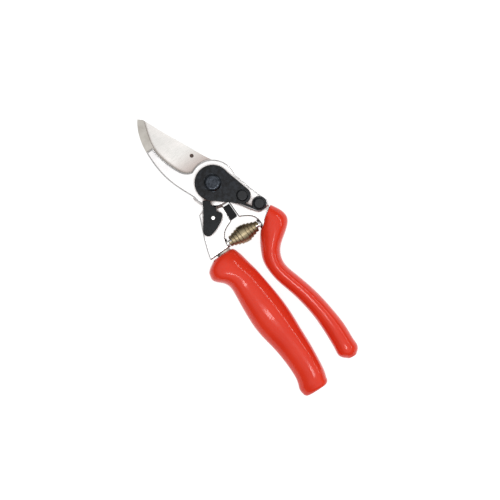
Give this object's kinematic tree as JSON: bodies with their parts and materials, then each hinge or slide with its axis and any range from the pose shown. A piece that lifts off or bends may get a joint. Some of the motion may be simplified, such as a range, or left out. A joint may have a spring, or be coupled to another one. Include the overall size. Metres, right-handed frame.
{
  "type": "bypass pruning shears with revolving grip",
  "caption": "Bypass pruning shears with aluminium levers, glossy orange-red grips, one of them revolving, a black lock plate and a volute spring, shown closed and latched.",
  "frame": {"origin": "pivot axis, at the flat back face of the pivot bolt's head", "axes": "+Y from the handles to the blades, along the axis of the revolving grip; +X towards the palm grip; +Z along the pivot axis, out of the front with the nut"},
  "size_m": [0.0639, 0.2107, 0.0256],
  "materials": {
    "forged_aluminium": "satin",
    "counter_steel": "satin",
    "blade_steel": "satin",
    "orange_grip": "gloss",
    "grip_end_plastic": "gloss",
    "black_plate": "matte",
    "black_screws": "satin",
    "black_nut": "satin",
    "catch_black": "matte",
    "bright_steel": "satin",
    "bronze": "satin",
    "bearing_plastic": "matte",
    "rubber_black": "matte",
    "spring_steel_gold": "satin"
  },
  "bodies": {
    "blade_side": {"rear_lever": "forged_aluminium", "cutting_blade": "blade_steel", "blade_screws": "bright_steel", "pivot_bush": "bronze", "catch_pin": "bright_steel", "detent_ball": "bright_steel", "detent_spring": "bright_steel", "bumper": "rubber_black", "spring_stud_left": "bright_steel", "main_spring": "spring_steel_gold", "grip_axle": "bright_steel", "thrust_washer": "bearing_plastic", "end_washer": "bright_steel", "axle_screw": "bright_steel"},
    "hook_side": {"front_lever": "forged_aluminium", "counter_blade": "counter_steel", "counter_blade_rivets": "bright_steel", "palm_grip": "orange_grip", "spring_stud_right": "bright_steel", "lock_plate": "black_plate", "lock_plate_screws": "black_screws", "pivot_bolt": "black_nut", "pivot_nut": "black_nut", "spring_washer": "bright_steel"},
    "revolving_grip_body": {"revolving_grip": "orange_grip", "grip_bushes": "bearing_plastic", "end_cap": "grip_end_plastic"},
    "lock_catch_body": {"lock_catch": "catch_black"}
  },
  "joints": [
    {"name": "pivot", "type": "hinge", "parent": "blade_side", "child": "hook_side", "pos_m": [0, 0, 0.012], "axis": [0, 0, 1], "range_deg": [0, 30], "deforming": ["main_spring"]},
    {"name": "grip_turn", "type": "hinge", "parent": "blade_side", "child": "revolving_grip_body", "pos_m": [-0.02, -0.09, 0.0125], "axis": [0, 1, 0], "continuous": true},
    {"name": "catch_turn", "type": "hinge", "parent": "blade_side", "child": "lock_catch_body", "pos_m": [-0.0127, -0.0187, 0.02], "axis": [0, 0, 1], "range_deg": [0, 25]}
  ]
}
